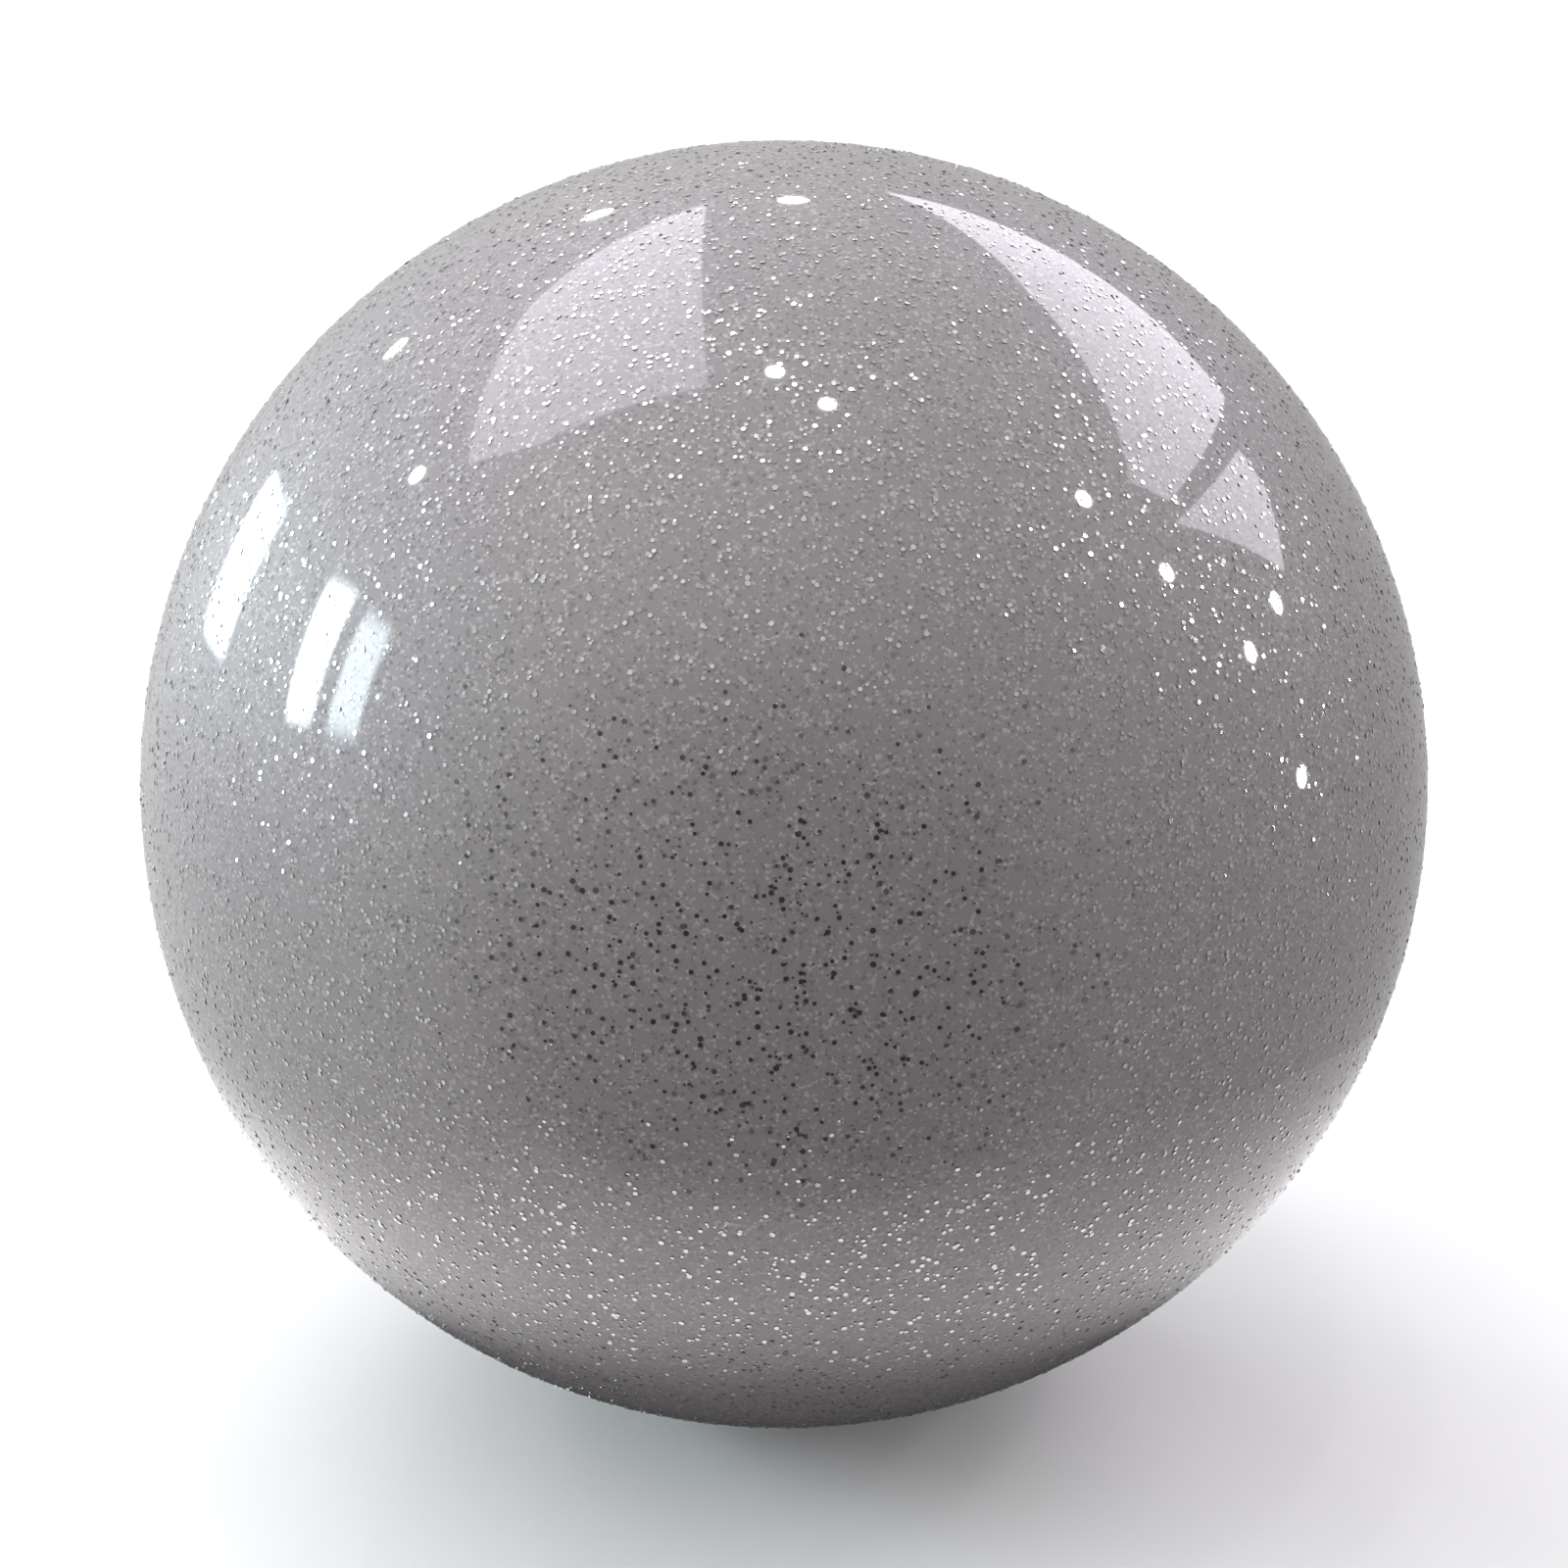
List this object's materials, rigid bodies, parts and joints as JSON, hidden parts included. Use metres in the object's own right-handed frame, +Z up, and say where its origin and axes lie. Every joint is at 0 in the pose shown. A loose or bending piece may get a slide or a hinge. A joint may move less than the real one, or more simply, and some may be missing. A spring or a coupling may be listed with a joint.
{
  "type": "inflatable beach ball",
  "caption": "Seamless round inflatable play ball with silver glitter under a clear skin, and a push-in mouth valve with a tethered stopper and check flap.",
  "frame": {"origin": "centre of the ball", "axes": "+Z up, +Y out through the valve, +X completes the right-handed frame"},
  "size_m": [0.23, 0.2329, 0.23],
  "materials": {
    "clear_glitter_pvc": "gloss",
    "silver_pvc": "gloss",
    "soft_valve_pvc": "satin",
    "flap_film": "satin"
  },
  "bodies": {
    "ball": {"clear_glitter_skin": "clear_glitter_pvc", "silver_backing_skin": "silver_pvc", "valve_flange": "soft_valve_pvc", "valve_skirt": "soft_valve_pvc"},
    "stem": {"valve_stem": "soft_valve_pvc", "stopper_strap": "soft_valve_pvc"},
    "cap": {"stopper": "soft_valve_pvc"},
    "flap": {"check_flap": "flap_film"}
  },
  "joints": [
    {"name": "valve_push", "type": "slide", "parent": "ball", "child": "stem", "axis": [0, 1, 0], "range_m": [0, 0.016], "deforming": ["valve_skirt"]},
    {"name": "stopper_swing", "type": "hinge", "parent": "stem", "child": "cap", "pos_m": [0, 0.11655, -0.0115], "axis": [-1, 0, 0], "range_deg": [0, 150]},
    {"name": "flap_open", "type": "hinge", "parent": "stem", "child": "flap", "pos_m": [0, 0.101, 0.005], "axis": [-1, 0, 0], "range_deg": [0, 60], "stiffness_Nm_per_rad": 0.00005, "springref_deg": -5.73}
  ]
}
